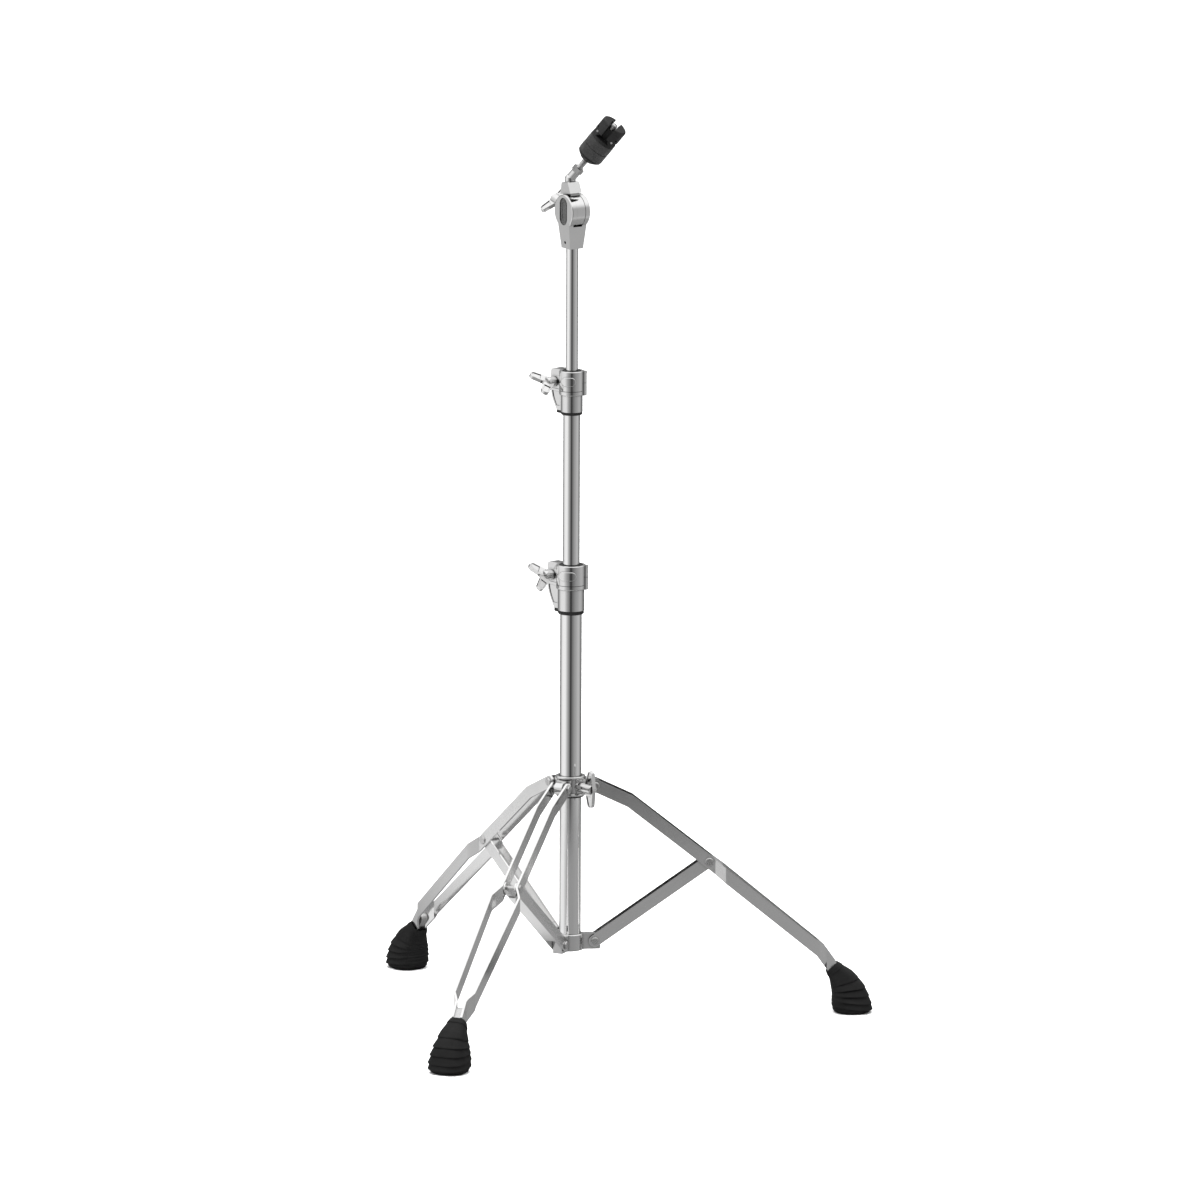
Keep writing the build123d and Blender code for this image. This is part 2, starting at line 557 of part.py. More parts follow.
def tilter_badge():
    """A plain oval plate in the recess of the badge cheek, with a raised ring."""
    face = Plane.YZ * SlotOverall(35.6, 17.1, rotation=90)
    plate = Pos(CHEEK_HALF - 2.4, 0, 0) * extrude(face, 1.0)
    ring = Plane.YZ * (SlotOverall(29, 11, rotation=90) - SlotOverall(26, 8, rotation=90))
    return plate + Pos(CHEEK_HALF - 1.5, 0, 0) * extrude(ring, 0.6)


def tilter_arm():
    """The disc between the cheeks with the saddle on top and the boss for the wing bolt."""
    arm = bar(DISC_R, -DISC_HALF, DISC_HALF, direction=(1, 0, 0))
    foot = CHEEK_R + 0.8
    wedge_face = Polygon((-SADDLE_FOOT_HALF, foot), (SADDLE_FOOT_HALF, foot),
                         (SADDLE_HEAD_HALF, SADDLE_TOP), (-SADDLE_HEAD_HALF, SADDLE_TOP), align=None)
    saddle = extrude(Plane.YZ * wedge_face, SADDLE_HALF, both=True)
    saddle = chamfer(saddle.edges().group_by(Axis.Z)[-1], 1.0)
    stem = block((-DISC_HALF, DISC_HALF), (-SADDLE_HALF, SADDLE_HALF), (10, CHEEK_R + 2))
    arm += saddle + stem
    away = wing_bolt_direction()
    arm += bar(6.2, 12, WING_BOLT_BOSS_END, direction=away)
    arm -= bar(HINGE_PIN_R + PIN_PLAY, -20, 20, direction=(1, 0, 0))
    arm -= bar(3.0, 0, 40, direction=away)
    return arm - bar(SWIVEL_PIN_R + PIN_PLAY, SADDLE_TOP - 10.3, SADDLE_TOP + 1)



def wing_bolt_direction():
    return Vector(0, -sin(radians(WING_BOLT_ANGLE)), cos(radians(WING_BOLT_ANGLE)))


def tilter_wing_bolt():
    """The screw that presses the brake shoe on the hinge pin."""
    away = wing_bolt_direction()
    plane = Plane(origin=(0, 0, 0), x_dir=(1, 0, 0), z_dir=away)
    head = turn(wing_head(6.8, 14.0, 24.0, 14.0, 10.0, 5.4, 7.0, 5.0), TILTER_WING_TURN)
    base = WING_BOLT_BOSS_END + 0.4
    return plane * (Pos(0, 0, base) * head + bar(3.0 - PIN_PLAY, 12.2, base + 0.6))


def tilter_brake_shoe():
    """The soft plug between the wing bolt and the hinge pin."""
    shoe = bar(2.9, HINGE_PIN_R - 1, 11.8, direction=wing_bolt_direction())
    return shoe - bar(HINGE_PIN_R + PIN_PLAY + 0.02, -20, 20, direction=(1, 0, 0))


def tilter():
    pin = bar(HINGE_PIN_R, -CHEEK_HALF - 0.8, CHEEK_HALF - 2.4, direction=(1, 0, 0))
    screw = bar(2.0, TOP_TUBE_R, 10.2, (0, 0, NECK_BOTTOM + 8), (1, 0, 0))
    screw -= hexagon_bar(2.0, 9.2, 12, (0, 0, NECK_BOTTOM + 8), (1, 0, 0))
    parts = {
        "tilter_body": tilter_body(),
        "tilter_badge": tilter_badge(),
        "tilter_hinge_pin": pin,
        "tilter_set_screw": screw,
        "tilter_arm": tilted(tilter_arm()),
        "tilter_wing_bolt": tilted(tilter_wing_bolt()),
        "tilter_brake_shoe": tilted(tilter_brake_shoe()),
    }
    return {name: TILTER_FRAME * shape for name, shape in parts.items()}


# ---------------------------------------------------------------- cymbal seat
# Along the rod: +Z up the rod from the elbow's centre, +Y to the side that the nut's pins show on.

def rod_elbow():
    """The 45 degree elbow on the saddle, in the disc's frame before it is swivelled."""
    elbow = bar(SWIVEL_PIN_R, SADDLE_TOP - 10, ELBOW_Z) + bar(7.0, SADDLE_TOP + GAP, ELBOW_Z)
    elbow += Pos(0, 0, ELBOW_Z) * Sphere(7.0)
    tilt = Vector(0, sin(radians(ELBOW_ANGLE)), cos(radians(ELBOW_ANGLE)))
    elbow += bar(6.2, 0, LOCK_NUT[0], (0, 0, ELBOW_Z), tilt)
    elbow -= bar(20, SADDLE_TOP - 12, SADDLE_TOP + GAP) - bar(SWIVEL_PIN_R, 0, 60)
    return elbow - bar(ROD_R, 5, 20, (0, 0, ELBOW_Z), tilt)


def cymbal_cup():
    """The cup under the felts, narrow at the bottom, with the socket of the sleeve."""
    cone = Polygon((0, CUP_BOTTOM), (10.0, CUP_BOTTOM), (15.8, CUP_TOP - 3.2), (17.4, CUP_TOP - 1.4),
                   (17.4, CUP_TOP), (0, CUP_TOP), align=None)
    cup = revolve(Plane.XZ * cone, Axis.Z)
    return cup - bar(ROD_R, CUP_BOTTOM - 1, CUP_TOP + 1) - bar(SLEEVE_R, CUP_TOP - 3, CUP_TOP + 1)


def felt(bottom):
    washer = bar(FELT_R, bottom, bottom + FELT_HEIGHT)
    washer = fillet(washer.edges().filter_by(GeomType.CIRCLE), 1.0)
    return washer - bar(SLEEVE_R + GAP, bottom - 1, bottom + FELT_HEIGHT + 1)


def nut_body():
    """The base of the quick-release nut: a disc, a threaded core and two pairs of pin lugs."""
    core = Rectangle(13.0, 2 * NUT_R) & Circle(NUT_R)
    body = bar(NUT_R, 0, NUT_BASE) + flat_plate(core & Rectangle(13, 14), 0, 19)
    for side in (-1, 1):
        for face in (-1, 1):
            lug = block((side * (NUT_PIVOT[0] - 4), side * (NUT_PIVOT[0] + 4)),
                        (face * 7.3, face * 10.3), (0, NUT_PIVOT[1] + 3.5))
            body += lug & bar(NUT_R, 0, 40)
    body = body - nut_pivots(1.5)
    return body - bar(ROD_R + 0.25, -1, 40) - bar(SLEEVE_R + GAP, -1, 4.5)


def nut_pivots(radius):
    x, z = NUT_PIVOT
    return [bar(radius, -20, 20, (side * x, 0, z), (0, 1, 0)) for side in (-1, 1)]


def nut_wing(side):
    """One lever of the nut: half of its round grip, hinged at the foot, with a notch on top."""
    x, z = NUT_PIVOT
    grip = Circle(NUT_R) & Pos(side * 30, 0) * Rectangle(60 - 2 * 4.2, 60)
    wing = flat_plate(grip, z, NUT_HEIGHT)
    wing = fillet(wing.edges().group_by(Axis.Z)[-1], 2.2)
    knuckle = bar(5.2, -14.5, 14.5, (side * x, 0, z), (0, 1, 0)) & bar(NUT_R, 0, 40)
    wing += knuckle & block((side * 4.2, side * 30), (-30, 30), (0, z))
    for face in (-1, 1):
        wing -= block((0, side * 30), (face * 7.0, face * 10.6), (0, z + 5.6))
    wing -= block((-8.8, 8.8), (-7.6, 7.6), (-1, 22))
    wing -= bar(1.5 + PIN_PLAY, -20, 20, (side * x, 0, z), (0, 1, 0))
    return wing - bar(6.5, 0, 40)


def nut_pins():
    x, z = NUT_PIVOT
    reach = sqrt(NUT_R ** 2 - x ** 2) - 0.4
    return Compound([bar(1.5, -reach, reach, (side * x, 0, z), (0, 1, 0)) for side in (-1, 1)])


def seat():
    swivelled = Rot(0, 0, SWIVEL_REST)
    disc_frame = TILTER_FRAME * Rot(TILT_REST, 0, 0) * swivelled
    # the rod leans to the front of the elbow; the nut is turned so that one row of pins shows
    along = disc_frame * Pos(0, 0, ELBOW_Z) * Rot(-ELBOW_ANGLE, 0, 0) * Rot(0, 0, NUT_TURN)
    rod = bar(ROD_R, 5, ROD_END)
    rod = chamfer(rod.edges().filter_by(GeomType.CIRCLE), 0.8)
    nut = Pos(0, 0, NUT_BOTTOM)
    parts = {
        "cymbal_rod": rod,
        "rod_lock_nut": hexagon_bar(13.0, *LOCK_NUT) - bar(ROD_R, 0, 40),
        "cymbal_cup": cymbal_cup(),
        "cymbal_sleeve": tube(SLEEVE_R, ROD_R, CUP_TOP - 3, NUT_BOTTOM + 4),
        "lower_felt": felt(CUP_TOP),
        "upper_felt": felt(LOWER_FELT_TOP + GAP),
        "nut_body": nut * nut_body(),
        "nut_left_wing": nut * nut_wing(-1),
        "nut_right_wing": nut * nut_wing(1),
        "nut_pins": nut * nut_pins(),
    }
    placed = {name: along * shape for name, shape in parts.items()}
    placed["rod_elbow"] = disc_frame * rod_elbow()
    return placed


def model():
    parts = tubes()
    parts["lower_leg_bracket"] = lower_leg_bracket()
    parts["brace_pivot_pins"] = pivot_pins(BRACKET_PIVOT_Z, BRACE_HALF_WIDTH + GAP)
    parts["leg_collar"] = leg_collar()
    parts["leg_collar_bushing"] = leg_collar_bushing()
    parts["leg_collar_wing_bolt"] = leg_collar_wing_bolt()
    parts["leg_pivot_pins"] = pivot_pins(COLLAR_PIVOT_Z, STRIP_OFFSET + STRIP_THICK / 2 + GAP)
    parts.update(legs())
    parts.update(clamp("lower_clamp", LOWER_CLAMP, 35))
    parts.update(clamp("upper_clamp", UPPER_CLAMP, 55))
    parts.update(tilter())
    parts.update(seat())
    return parts


os.makedirs("parts", exist_ok=True)
for node, shape in model().items():
    export_step(shape, f"parts/{node}.step")
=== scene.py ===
import bpy
import bmesh
import json
from math import cos, pi, radians, sin
from mathutils import Matrix, Vector, noise


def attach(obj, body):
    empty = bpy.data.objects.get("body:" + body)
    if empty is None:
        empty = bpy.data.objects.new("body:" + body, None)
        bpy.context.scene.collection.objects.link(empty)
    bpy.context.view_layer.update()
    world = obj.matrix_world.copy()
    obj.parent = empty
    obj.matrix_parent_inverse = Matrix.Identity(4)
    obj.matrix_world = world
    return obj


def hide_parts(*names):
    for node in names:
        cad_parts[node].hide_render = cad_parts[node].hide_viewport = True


# A straight cymbal stand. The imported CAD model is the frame; this script gives every node its
# material and rebuilds the rubber feet, the felts and the threaded rod with their surface detail.

MM = 0.001
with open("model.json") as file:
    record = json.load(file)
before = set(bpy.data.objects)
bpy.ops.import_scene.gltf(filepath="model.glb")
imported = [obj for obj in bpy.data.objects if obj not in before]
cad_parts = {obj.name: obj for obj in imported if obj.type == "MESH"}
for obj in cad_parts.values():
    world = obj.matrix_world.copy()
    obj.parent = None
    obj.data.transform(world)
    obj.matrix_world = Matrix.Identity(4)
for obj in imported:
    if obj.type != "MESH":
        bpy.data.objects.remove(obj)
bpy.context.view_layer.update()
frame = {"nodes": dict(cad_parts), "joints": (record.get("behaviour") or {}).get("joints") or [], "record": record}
scene = bpy.context.scene


# ---------------------------------------------------------------- materials

class Nodes:
    """A short way to build one node material."""

    def __init__(self, name):
        self.material = bpy.data.materials.new(name)
        self.material.use_nodes = True
        self.tree = self.material.node_tree
        self.shader = self.tree.nodes["Principled BSDF"]

    def node(self, kind, inputs=(), **settings):
        node = self.tree.nodes.new(kind)
        for key, value in settings.items():
            setattr(node, key, value)
        for key, value in dict(inputs).items():
            if isinstance(value, bpy.types.NodeSocket):
                self.tree.links.new(value, node.inputs[key])
            else:
                node.inputs[key].default_value = value
        return node

    def set(self, **values):
        for key, value in values.items():
            socket = self.shader.inputs[key.replace("_", " ")]
            if isinstance(value, bpy.types.NodeSocket):
                self.tree.links.new(value, socket)
            else:
                socket.default_value = value

    def place(self, stretch=(1, 1, 1)):
        """Object coordinates in metres, stretched."""
        coordinates = self.node("ShaderNodeTexCoord")
        return self.node("ShaderNodeMapping", {"Vector": coordinates.outputs["Object"],
                                               "Scale": stretch}).outputs["Vector"]

    def noise(self, vector, scale, detail=3.0, roughness=0.55):
        return self.node("ShaderNodeTexNoise", {"Vector": vector, "Scale": scale, "Detail": detail,
                                                "Roughness": roughness}).outputs["Fac"]

    def band(self, value, low, high, to_low, to_high):
        """The value's range from low to high, spread over another range."""
        return self.node("ShaderNodeMapRange", {"Value": value, "From Min": low, "From Max": high,
                                                "To Min": to_low, "To Max": to_high}).outputs["Result"]

    def mix(self, factor, first, second):
        node = self.node("ShaderNodeMix", data_type="RGBA")
        for index, value in ((0, factor), (6, first), (7, second)):
            if isinstance(value, bpy.types.NodeSocket):
                self.tree.links.new(value, node.inputs[index])
            else:
                node.inputs[index].default_value = value
        return node.outputs[2]

    def bump(self, height, strength, distance, normal=None):
        inputs = {"Height": height, "Strength": strength, "Distance": distance}
        if normal is not None:
            inputs["Normal"] = normal
        return self.node("ShaderNodeBump", inputs).outputs["Normal"]


def grey(value, warmth=0.0):
    return (value * (1 + warmth), value, value * (1 - warmth), 1.0)


def plated(name, tone, smooth, rough, peel, stretch=(1, 1, 1), crevice_shade=0.0):
    """Chrome plate: wiped haze and fine rub marks in the gloss, faint unevenness in the surface.

    The last argument is how much shade is painted into the plate's colour in corners and recesses."""
    m = Nodes(name)
    haze = m.noise(m.place(stretch), 38.0, 4.0)
    rub = m.noise(m.place((stretch[0] * 9, stretch[1] * 9, stretch[2] * 0.7)), 420.0, 2.0)
    plate = m.mix(m.band(haze, 0.3, 0.7, 0, 1), grey(tone * 0.965), grey(tone, 0.004))
    if crevice_shade:
        # painted shade: where ambient occlusion finds near surfaces, the plate's colour darkens towards a deep
        # grey
        openness = m.node("ShaderNodeAmbientOcclusion", {"Distance": 0.005}).outputs["AO"]
        plate = m.mix(m.band(openness, 0.25, 0.95, crevice_shade, 0.0), plate, grey(tone * 0.14))
    m.set(Base_Color=plate)
    worn = m.node("ShaderNodeMath", {0: m.band(haze, 0.35, 0.75, smooth, rough),
                                     1: m.band(rub, 0.45, 0.8, 0.0, (rough - smooth) * 0.6)},
                  operation="ADD").outputs[0]
    m.set(Roughness=worn, Metallic=1.0)
    m.set(Normal=m.bump(m.noise(m.place(stretch), 260.0, 2.0), peel, 0.0004))
    return m.material


def steel(name, tone, rough):
    """Plain plated steel with turning marks and dull patches."""
    m = Nodes(name)
    marks = m.noise(m.place((1, 1, 9)), 900.0, 2.0)
    dull = m.noise(m.place(), 120.0, 3.0)
    m.set(Base_Color=m.mix(m.band(dull, 0.35, 0.7, 0, 1), grey(tone), grey(tone * 0.82, 0.01)))
    m.set(Roughness=m.band(marks, 0.3, 0.7, rough, rough + 0.16), Metallic=1.0)
    m.set(Normal=m.bump(marks, 0.12, 0.0002))
    return m.material


def moulded(name, tone, rough, grain, depth, coat=0.0, shine=0.22):
    """Moulded black plastic or rubber: fine grain, soft blotches and pale rubbed spots."""
    m = Nodes(name)
    blotch = m.noise(m.place(), 45.0, 3.0)
    fine = m.noise(m.place(), grain, 4.0, 0.7)
    body = m.mix(m.band(blotch, 0.3, 0.7, 0, 1), grey(tone * 0.75), grey(tone * 1.2))
    m.set(Base_Color=m.mix(m.band(fine, 0.62, 0.8, 0, 0.35), body, grey(tone * 2.4)))
    m.set(Roughness=m.band(fine, 0.3, 0.7, rough - 0.08, rough + 0.1))
    m.set(Normal=m.bump(fine, depth, 0.0003), Coat_Weight=coat, Specular_IOR_Level=shine)
    return m.material


def felted(name):
    """Pressed charcoal felt: tangled fibres in two scales, with a soft sheen."""
    m = Nodes(name)
    coordinates = m.place()
    warp = m.node("ShaderNodeTexNoise", {"Vector": coordinates, "Scale": 300.0, "Detail": 2.0})
    bent = m.node("ShaderNodeVectorMath", {0: warp.outputs["Color"], 1: (0.006, 0.006, 0.006)},
                  operation="MULTIPLY").outputs[0]
    path = m.node("ShaderNodeVectorMath", {0: coordinates, 1: bent}, operation="ADD").outputs[0]
    fibre = m.node("ShaderNodeTexVoronoi", {"Vector": path, "Scale": 1400.0},
                   feature="DISTANCE_TO_EDGE").outputs["Distance"]
    lint = m.noise(coordinates, 700.0, 5.0, 0.75)
    cloud = m.noise(coordinates, 130.0, 3.0)
    base = m.mix(m.band(cloud, 0.3, 0.7, 0, 1), grey(0.011), grey(0.020))
    base = m.mix(m.band(fibre, 0.0, 0.12, 0.55, 0.0), base, grey(0.045))
    m.set(Base_Color=m.mix(m.band(lint, 0.6, 0.78, 0, 0.6), base, grey(0.075)))
    m.set(Roughness=0.95, Sheen_Weight=0.08, Sheen_Roughness=0.5, Specular_IOR_Level=0.15)
    m.set(Normal=m.bump(lint, 0.6, 0.0006, m.bump(fibre, 0.4, 0.0003)))
    return m.material


FINISH = {
    "tube_chrome": plated("tube_chrome", 0.84, 0.035, 0.09, 0.02, (1, 1, 0.12)),
    # cast_chrome and strip_chrome carry painted shade in their corners and recesses, at 0.85 and 0.5
    "cast_chrome": plated("cast_chrome", 0.74, 0.06, 0.13, 0.06, crevice_shade=0.85),
    "strip_chrome": plated("strip_chrome", 0.82, 0.09, 0.17, 0.05, (1, 1, 0.5), 0.5),
    "steel": steel("steel", 0.66, 0.2),
    "dark_steel": steel("dark_steel", 0.09, 0.35),
    "brass": steel("brass", 0.5, 0.3),
    "black_nylon": moulded("black_nylon", 0.009, 0.42, 900.0, 0.15),
    "black_plastic": moulded("black_plastic", 0.009, 0.36, 1100.0, 0.2),
    "badge_enamel": moulded("badge_enamel", 0.045, 0.22, 500.0, 0.05, 0.6),
    "black_rubber": moulded("black_rubber", 0.0055, 0.58, 800.0, 0.3, 0.0, 0.16),
    "black_felt": felted("black_felt"),
}

for part in frame["record"]["subparts"]:
    mesh = frame["nodes"][part["node"]].data
    mesh.materials.clear()
    mesh.materials.append(FINISH[part["material_slot"]])


# ---------------------------------------------------------------- rebuilt pieces

def linked_object(name, skin):
    """A smooth object made from a finished bmesh."""
    for face in skin.faces:
        face.smooth = True
    mesh = bpy.data.meshes.new(name)
    skin.to_mesh(mesh)
    skin.free()
    obj = bpy.data.objects.new(name, mesh)
    scene.collection.objects.link(obj)
    return obj


def point_rings(skin, rows):
    return [[skin.verts.new(Vector(p) * MM) for p in row] for row in rows]


def join_rings(skin, rings):
    count = len(rings[0])
    for low, high in zip(rings, rings[1:]):
        for i in range(count):
            j = (i + 1) % count
            skin.faces.new((low[i], low[j], high[j], high[i]))


def closed_mesh(name, rows):
    """A closed skin through rings of points, in millimetres, with a fan over each end."""
    skin = bmesh.new()
    rings = point_rings(skin, rows)
    join_rings(skin, rings)
    count = len(rings[0])
    for ring, flip in ((rings[0], True), (rings[-1], False)):
        middle = skin.verts.new(sum((v.co for v in ring), Vector()) / count)
        for i in range(count):
            j = (i + 1) % count
            skin.faces.new((ring[j], ring[i], middle) if flip else (ring[i], ring[j], middle))
    skin.normal_update()
    return linked_object(name, skin)


def washer_mesh(name, rows):
    """A ring-shaped skin: its last row of points joins the first one."""
    skin = bmesh.new()
    rings = point_rings(skin, rows)
    join_rings(skin, rings + [rings[0]])
    bmesh.ops.recalc_face_normals(skin, faces=skin.faces)
    return linked_object(name, skin)


def finish_piece(obj, node, body, material_slot):
    obj.data.materials.append(FINISH[material_slot])
    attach(obj, body)
    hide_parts(node)


# ---- rubber feet, built on leg 1 and turned for the others ----
# height, centre along the leg, lean of the ring, half length, half width
FOOT_RINGS = (
    (0.0, 372.3, 0.0, 20.5, 20.0),
    (1.2, 372.4, 0.0, 23.4, 22.8),
    (3.6, 372.5, -2.0, 25.6, 25.0),
    (8.0, 372.6, -6.0, 27.0, 26.4),
    (15.0, 372.0, -6.0, 26.2, 26.0),
    (22.0, 370.8, -2.0, 24.4, 24.6),
    (30.0, 368.4, 4.0, 22.6, 22.6),
    (38.0, 364.6, 12.0, 20.2, 20.2),
    (47.0, 358.6, 25.0, 16.4, 16.8),
    (55.0, 351.0, 37.0, 12.0, 12.9),
    (60.5, 345.6, 43.0, 9.4, 10.4),
)
FOOT_TOP = FOOT_RINGS[-1][0]
NECK_HEIGHT = 4.6
FOOT_SHINGLES = (0.0, 6.5, 15.0, 23.5, 32.0, 41.0)
FOOT_STEP = 2.9
INNER_RIB = 4.8
# the rolled lip at the neck: scale of the last ring and rise along the leg
NECK_LIP = ((0.96, 0.8), (0.86, 1.1), (0.8, 0.4), (0.78, -1.5))


def along_table(table, height):
    """The table's other columns at a height, joined by straight runs."""
    for low, high in zip(table, table[1:]):
        if height <= high[0]:
            share = (height - low[0]) / (high[0] - low[0])
            return [a + (b - a) * share for a, b in zip(low[1:], high[1:])]
    return list(table[-1][1:])


def foot_offset(height, across, along):
    """How far the skin stands out at a height; along is 1 on the outer side and -1 on the inner."""
    shingle = 0.0
    for low, high in zip(FOOT_SHINGLES, FOOT_SHINGLES[1:]):
        if low <= height < high:
            share = (height - low) / (high - low)
            shingle = FOOT_STEP * (0.35 - share) * (0.4 + 0.6 * abs(across))
    inner = max(0.0, -along - 0.35) / 0.65
    ribs = 0.0
    if 3.0 < height < 50.0:
        ribs = 0.75 * abs(sin(pi * height / INNER_RIB)) ** 0.6 - 0.5
    return shingle * (1 - inner) + ribs * inner * 1.3


def foot_rows():
    heights = [0.0, 0.6, 1.2]
    heights += [1.8 + 0.55 * i for i in range(int((FOOT_TOP - 2.4) / 0.55))]
    for edge in FOOT_SHINGLES[1:]:
        heights = [h for h in heights if abs(h - edge) > 0.4] + [edge - 0.12, edge + 0.12]
    neck_start = FOOT_TOP - NECK_HEIGHT
    heights = sorted(heights + [neck_start - 0.1, neck_start + 0.1]) + [FOOT_TOP]
    rows = []
    count = 112
    for height in heights:
        centre, lean, half_length, half_width = along_table(FOOT_RINGS, height)
        round_off = 2.3 + 0.9 * min(1.0, height / 30.0)
        row = []
        for i in range(count):
            angle = 2 * pi * i / count
            c, s = cos(angle), sin(angle)
            shape = (abs(c) ** round_off + abs(s) ** round_off) ** (-1 / round_off)
            reach = foot_offset(height, s, c)
            if height > neck_start:
                reach += 0.9
            x = (half_length * shape + reach) * c
            y = (half_width * shape + reach) * s
            tilt = radians(lean)
            row.append((centre + x * cos(tilt), y, max(0.0, height + x * sin(tilt))))
        rows.append(row)
    # the neck ends in a rolled lip round the leg
    neck = rows[-1]
    top, centre, lean = FOOT_RINGS[-1][:3]
    tilt = radians(lean)
    for scale, lift in NECK_LIP:
        rows.append([(centre + (x - centre) * scale - sin(tilt) * lift, y * scale,
                      top + (z - top) * scale + cos(tilt) * lift) for x, y, z in neck])
    return rows


foot_skin = foot_rows()
for number in (1, 2, 3):
    turned = Matrix.Rotation(radians(120.0 * (number - 1)), 3, "Z")
    rows = [[turned @ Vector(p) for p in row] for row in foot_skin]
    foot = closed_mesh(f"ribbed_foot_{number}", rows)
    finish_piece(foot, f"rubber_foot_{number}", f"leg_{number}", "black_rubber")


# ---- the cymbal seat, along the rod: its line and the elbow's centre are the record's joints ----
nut_slide = next(j for j in frame["joints"] if j["name"] == "nut_slide")
rod_swivel = next(j for j in frame["joints"] if j["name"] == "rod_swivel")
ROD_LINE = Vector(nut_slide["axis"]).normalized()
ELBOW = Vector(rod_swivel["pos_m"])


def on_rod(radius, angle, distance):
    """A point round the rod's line, in millimetres."""
    side = ROD_LINE.cross(Vector((0, 0, 1))).normalized()
    front = ROD_LINE.cross(side)
    return ELBOW / MM + ROD_LINE * distance + (side * cos(angle) + front * sin(angle)) * radius


def felt_washer(name, node, body, bottom, seed):
    """A felt washer: soft rounded edges, a slightly barrelled side and a napped skin."""
    height, outer, inner, edge = 13.2, 17.9, 5.95, 1.1
    flat_end = outer - edge
    profile = [(inner + (flat_end - inner) * i / 9, 0.0) for i in range(9)]
    for i in range(6):
        a = pi / 2 * i / 6
        profile.append((flat_end + edge * sin(a), edge - edge * cos(a)))
    for i in range(23):
        rise = edge + (height - 2 * edge) * i / 22
        profile.append((outer - 0.12 + 0.14 * sin(pi * rise / height), rise))
    for i in range(1, 7):
        a = pi / 2 * i / 6
        profile.append((flat_end + edge * cos(a), height - edge + edge * sin(a)))
    for i in range(1, 10):
        profile.append((flat_end - (flat_end - inner) * i / 9, height))
    for i in range(1, 6):
        profile.append((inner, height - height * i / 6))
    count = 150
    rows = []
    for radius, rise in profile:
        row = []
        for i in range(count):
            angle = 2 * pi * i / count
            p = on_rod(radius, angle, bottom + rise)
            if radius > inner + 0.5:
                nap = noise.noise(p * 0.9 + Vector((seed, 0, 0))) * 0.16
                nap += noise.noise(p * 0.25 + Vector((0, seed, 0))) * 0.12
                p = on_rod(radius + nap - 0.1, angle, bottom + rise)
            row.append(p)
        rows.append(row)
    felt = washer_mesh(name, rows)
    finish_piece(felt, node, body, "black_felt")


# where each felt starts, up the rod from the elbow's centre
felt_washer("lower_felt_washer", "lower_felt", "rod", 43.55, 3.0)
felt_washer("upper_felt_washer", "upper_felt", "upper_felt", 57.15, 11.0)


def threaded_rod():
    """The rod with its metric thread: a helix of rounded ridges between two plain ends."""
    pitch, outer, root = 1.25, 3.98, 3.35
    lock_nut_thread = (19.0, 36.5)
    top_thread = 78.0
    count = 40
    rows = []
    distance = 5.0
    while distance < 97.0:
        threaded = lock_nut_thread[0] < distance < lock_nut_thread[1] or distance > top_thread
        row = []
        for i in range(count):
            angle = 2 * pi * i / count
            radius = outer
            if threaded:
                phase = (distance / pitch + i / count) % 1.0
                ridge = min(1.0, max(0.0, 1.25 - 2.6 * abs(phase - 0.5)))
                radius = root + (outer - root) * ridge
            row.append(on_rod(radius, angle, distance))
        rows.append(row)
        distance += pitch / 9 if threaded else 1.0
    for radius, distance in ((3.4, 97.1), (3.0, 97.5)):
        rows.append([on_rod(radius, 2 * pi * i / count, distance) for i in range(count)])
    rod = closed_mesh("threaded_rod", rows)
    finish_piece(rod, "cymbal_rod", "rod", "steel")


threaded_rod()


# ---------------------------------------------------------------- floor, light and camera

FLOOR_HALF = 14.0
floor_mesh = bpy.data.meshes.new("floor")
floor_mesh.from_pydata([(-FLOOR_HALF, -FLOOR_HALF, 0), (FLOOR_HALF, -FLOOR_HALF, 0),
                        (FLOOR_HALF, FLOOR_HALF, 0), (-FLOOR_HALF, FLOOR_HALF, 0)], [], [(0, 1, 2, 3)])
floor = bpy.data.objects.new("floor", floor_mesh)
scene.collection.objects.link(floor)
floor.location.z = -0.0004
floor.visible_glossy = False
paper = Nodes("floor_paper")
paper.set(Base_Color=paper.mix(paper.band(paper.noise(paper.place(), 3.0), 0.3, 0.7, 0, 1),
                               grey(0.93), grey(0.95)), Roughness=0.9)
floor_mesh.materials.append(paper.material)

# a floor sheet that only the low chrome mirrors, unseen by the camera, with painted reflection greys darker than
# the pale floor: it fades out away from the stand
MIRRORED_FLOOR_R = 1.6
mirror_mesh = bpy.data.meshes.new("mirrored_floor")
mirror_skin = bmesh.new()
bmesh.ops.create_circle(mirror_skin, cap_ends=True, segments=64, radius=MIRRORED_FLOOR_R)
mirror_skin.to_mesh(mirror_mesh)
mirror_skin.free()
mirrored = bpy.data.objects.new("mirrored_floor", mirror_mesh)
scene.collection.objects.link(mirrored)
mirrored.location.z = -0.0002
mirrored.visible_camera = False
mirrored.visible_diffuse = False
mirrored.visible_shadow = False
CAMERA_AZIMUTH = -95.6
CAMERA_ELEVATION = 10.8
CAMERA_DISTANCE = 20.0
VIEW_WIDTH = 1.5744           # the width of the view at the stand's axis, in metres
VIEW_CENTRE = (0.0378, 0.546)  # right of and up from the origin
ROLL = 0.22

# the studio: brightness by compass direction from the camera, in degrees to its right
STUDIO = (
    (-180, 0.34), (-144, 0.22), (-122, 0.45), (-100, 0.95), (-84, 1.25), (-58, 1.2), (-47, 0.75),
    (-36, 0.52), (-26, 0.37), (-13, 0.24), (-8, 0.07), (6, 0.05), (10, 0.16), (17, 0.2), (27, 0.27),
    (38, 0.35), (60, 0.44), (86, 0.58), (102, 0.5), (119, 0.3), (133, 0.16), (152, 0.2), (180, 0.34),
)


